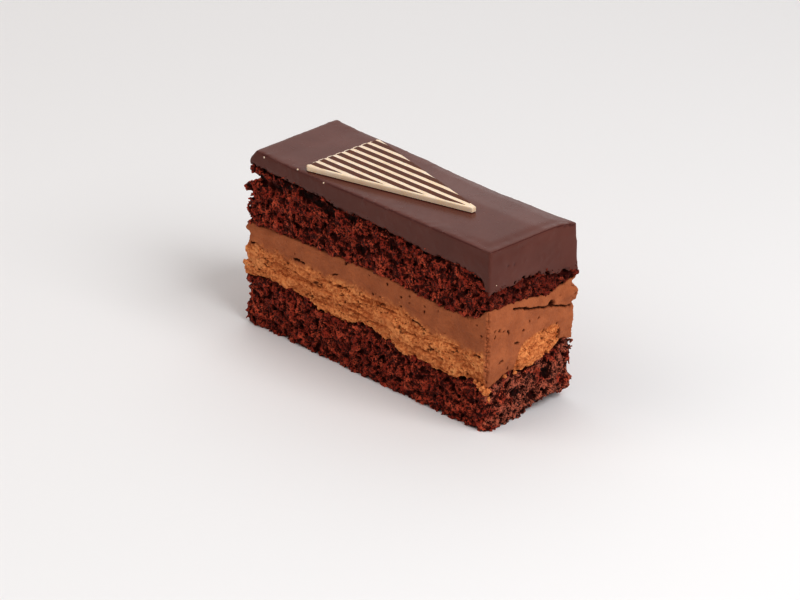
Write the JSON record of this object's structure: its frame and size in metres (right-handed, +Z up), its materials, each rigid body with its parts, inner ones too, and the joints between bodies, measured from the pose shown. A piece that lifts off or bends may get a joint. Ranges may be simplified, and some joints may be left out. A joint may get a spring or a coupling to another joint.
{
  "type": "chocolate layer cake slice",
  "caption": "Rectangular slice of layered chocolate cake: two dark sponges round a thick mousse, under a smooth chocolate glaze with a striped chocolate triangle on top.",
  "frame": {"origin": "centre of the base that the slice stands on", "axes": "+X along the slice towards the short end where the glaze is thickest, +Y across it towards the hidden long face, +Z up"},
  "size_m": [0.1236, 0.0438, 0.0703],
  "materials": {
    "sponge": "moist dark chocolate sponge, open crumb, matt",
    "mousse": "chocolate mousse, fine and satin-matt, cut with a knife",
    "glaze": "chocolate glaze, smooth, satin gloss",
    "white_chocolate": "white chocolate, smooth, soft gloss",
    "dark_stripe": "dark chocolate stripes, smooth, soft gloss"
  },
  "bodies": {
    "root": {"sponge_lower": "sponge", "mousse": "mousse", "sponge_upper": "sponge", "chocolate_glaze": "glaze", "striped_triangle": "white_chocolate"}
  },
  "joints": []
}
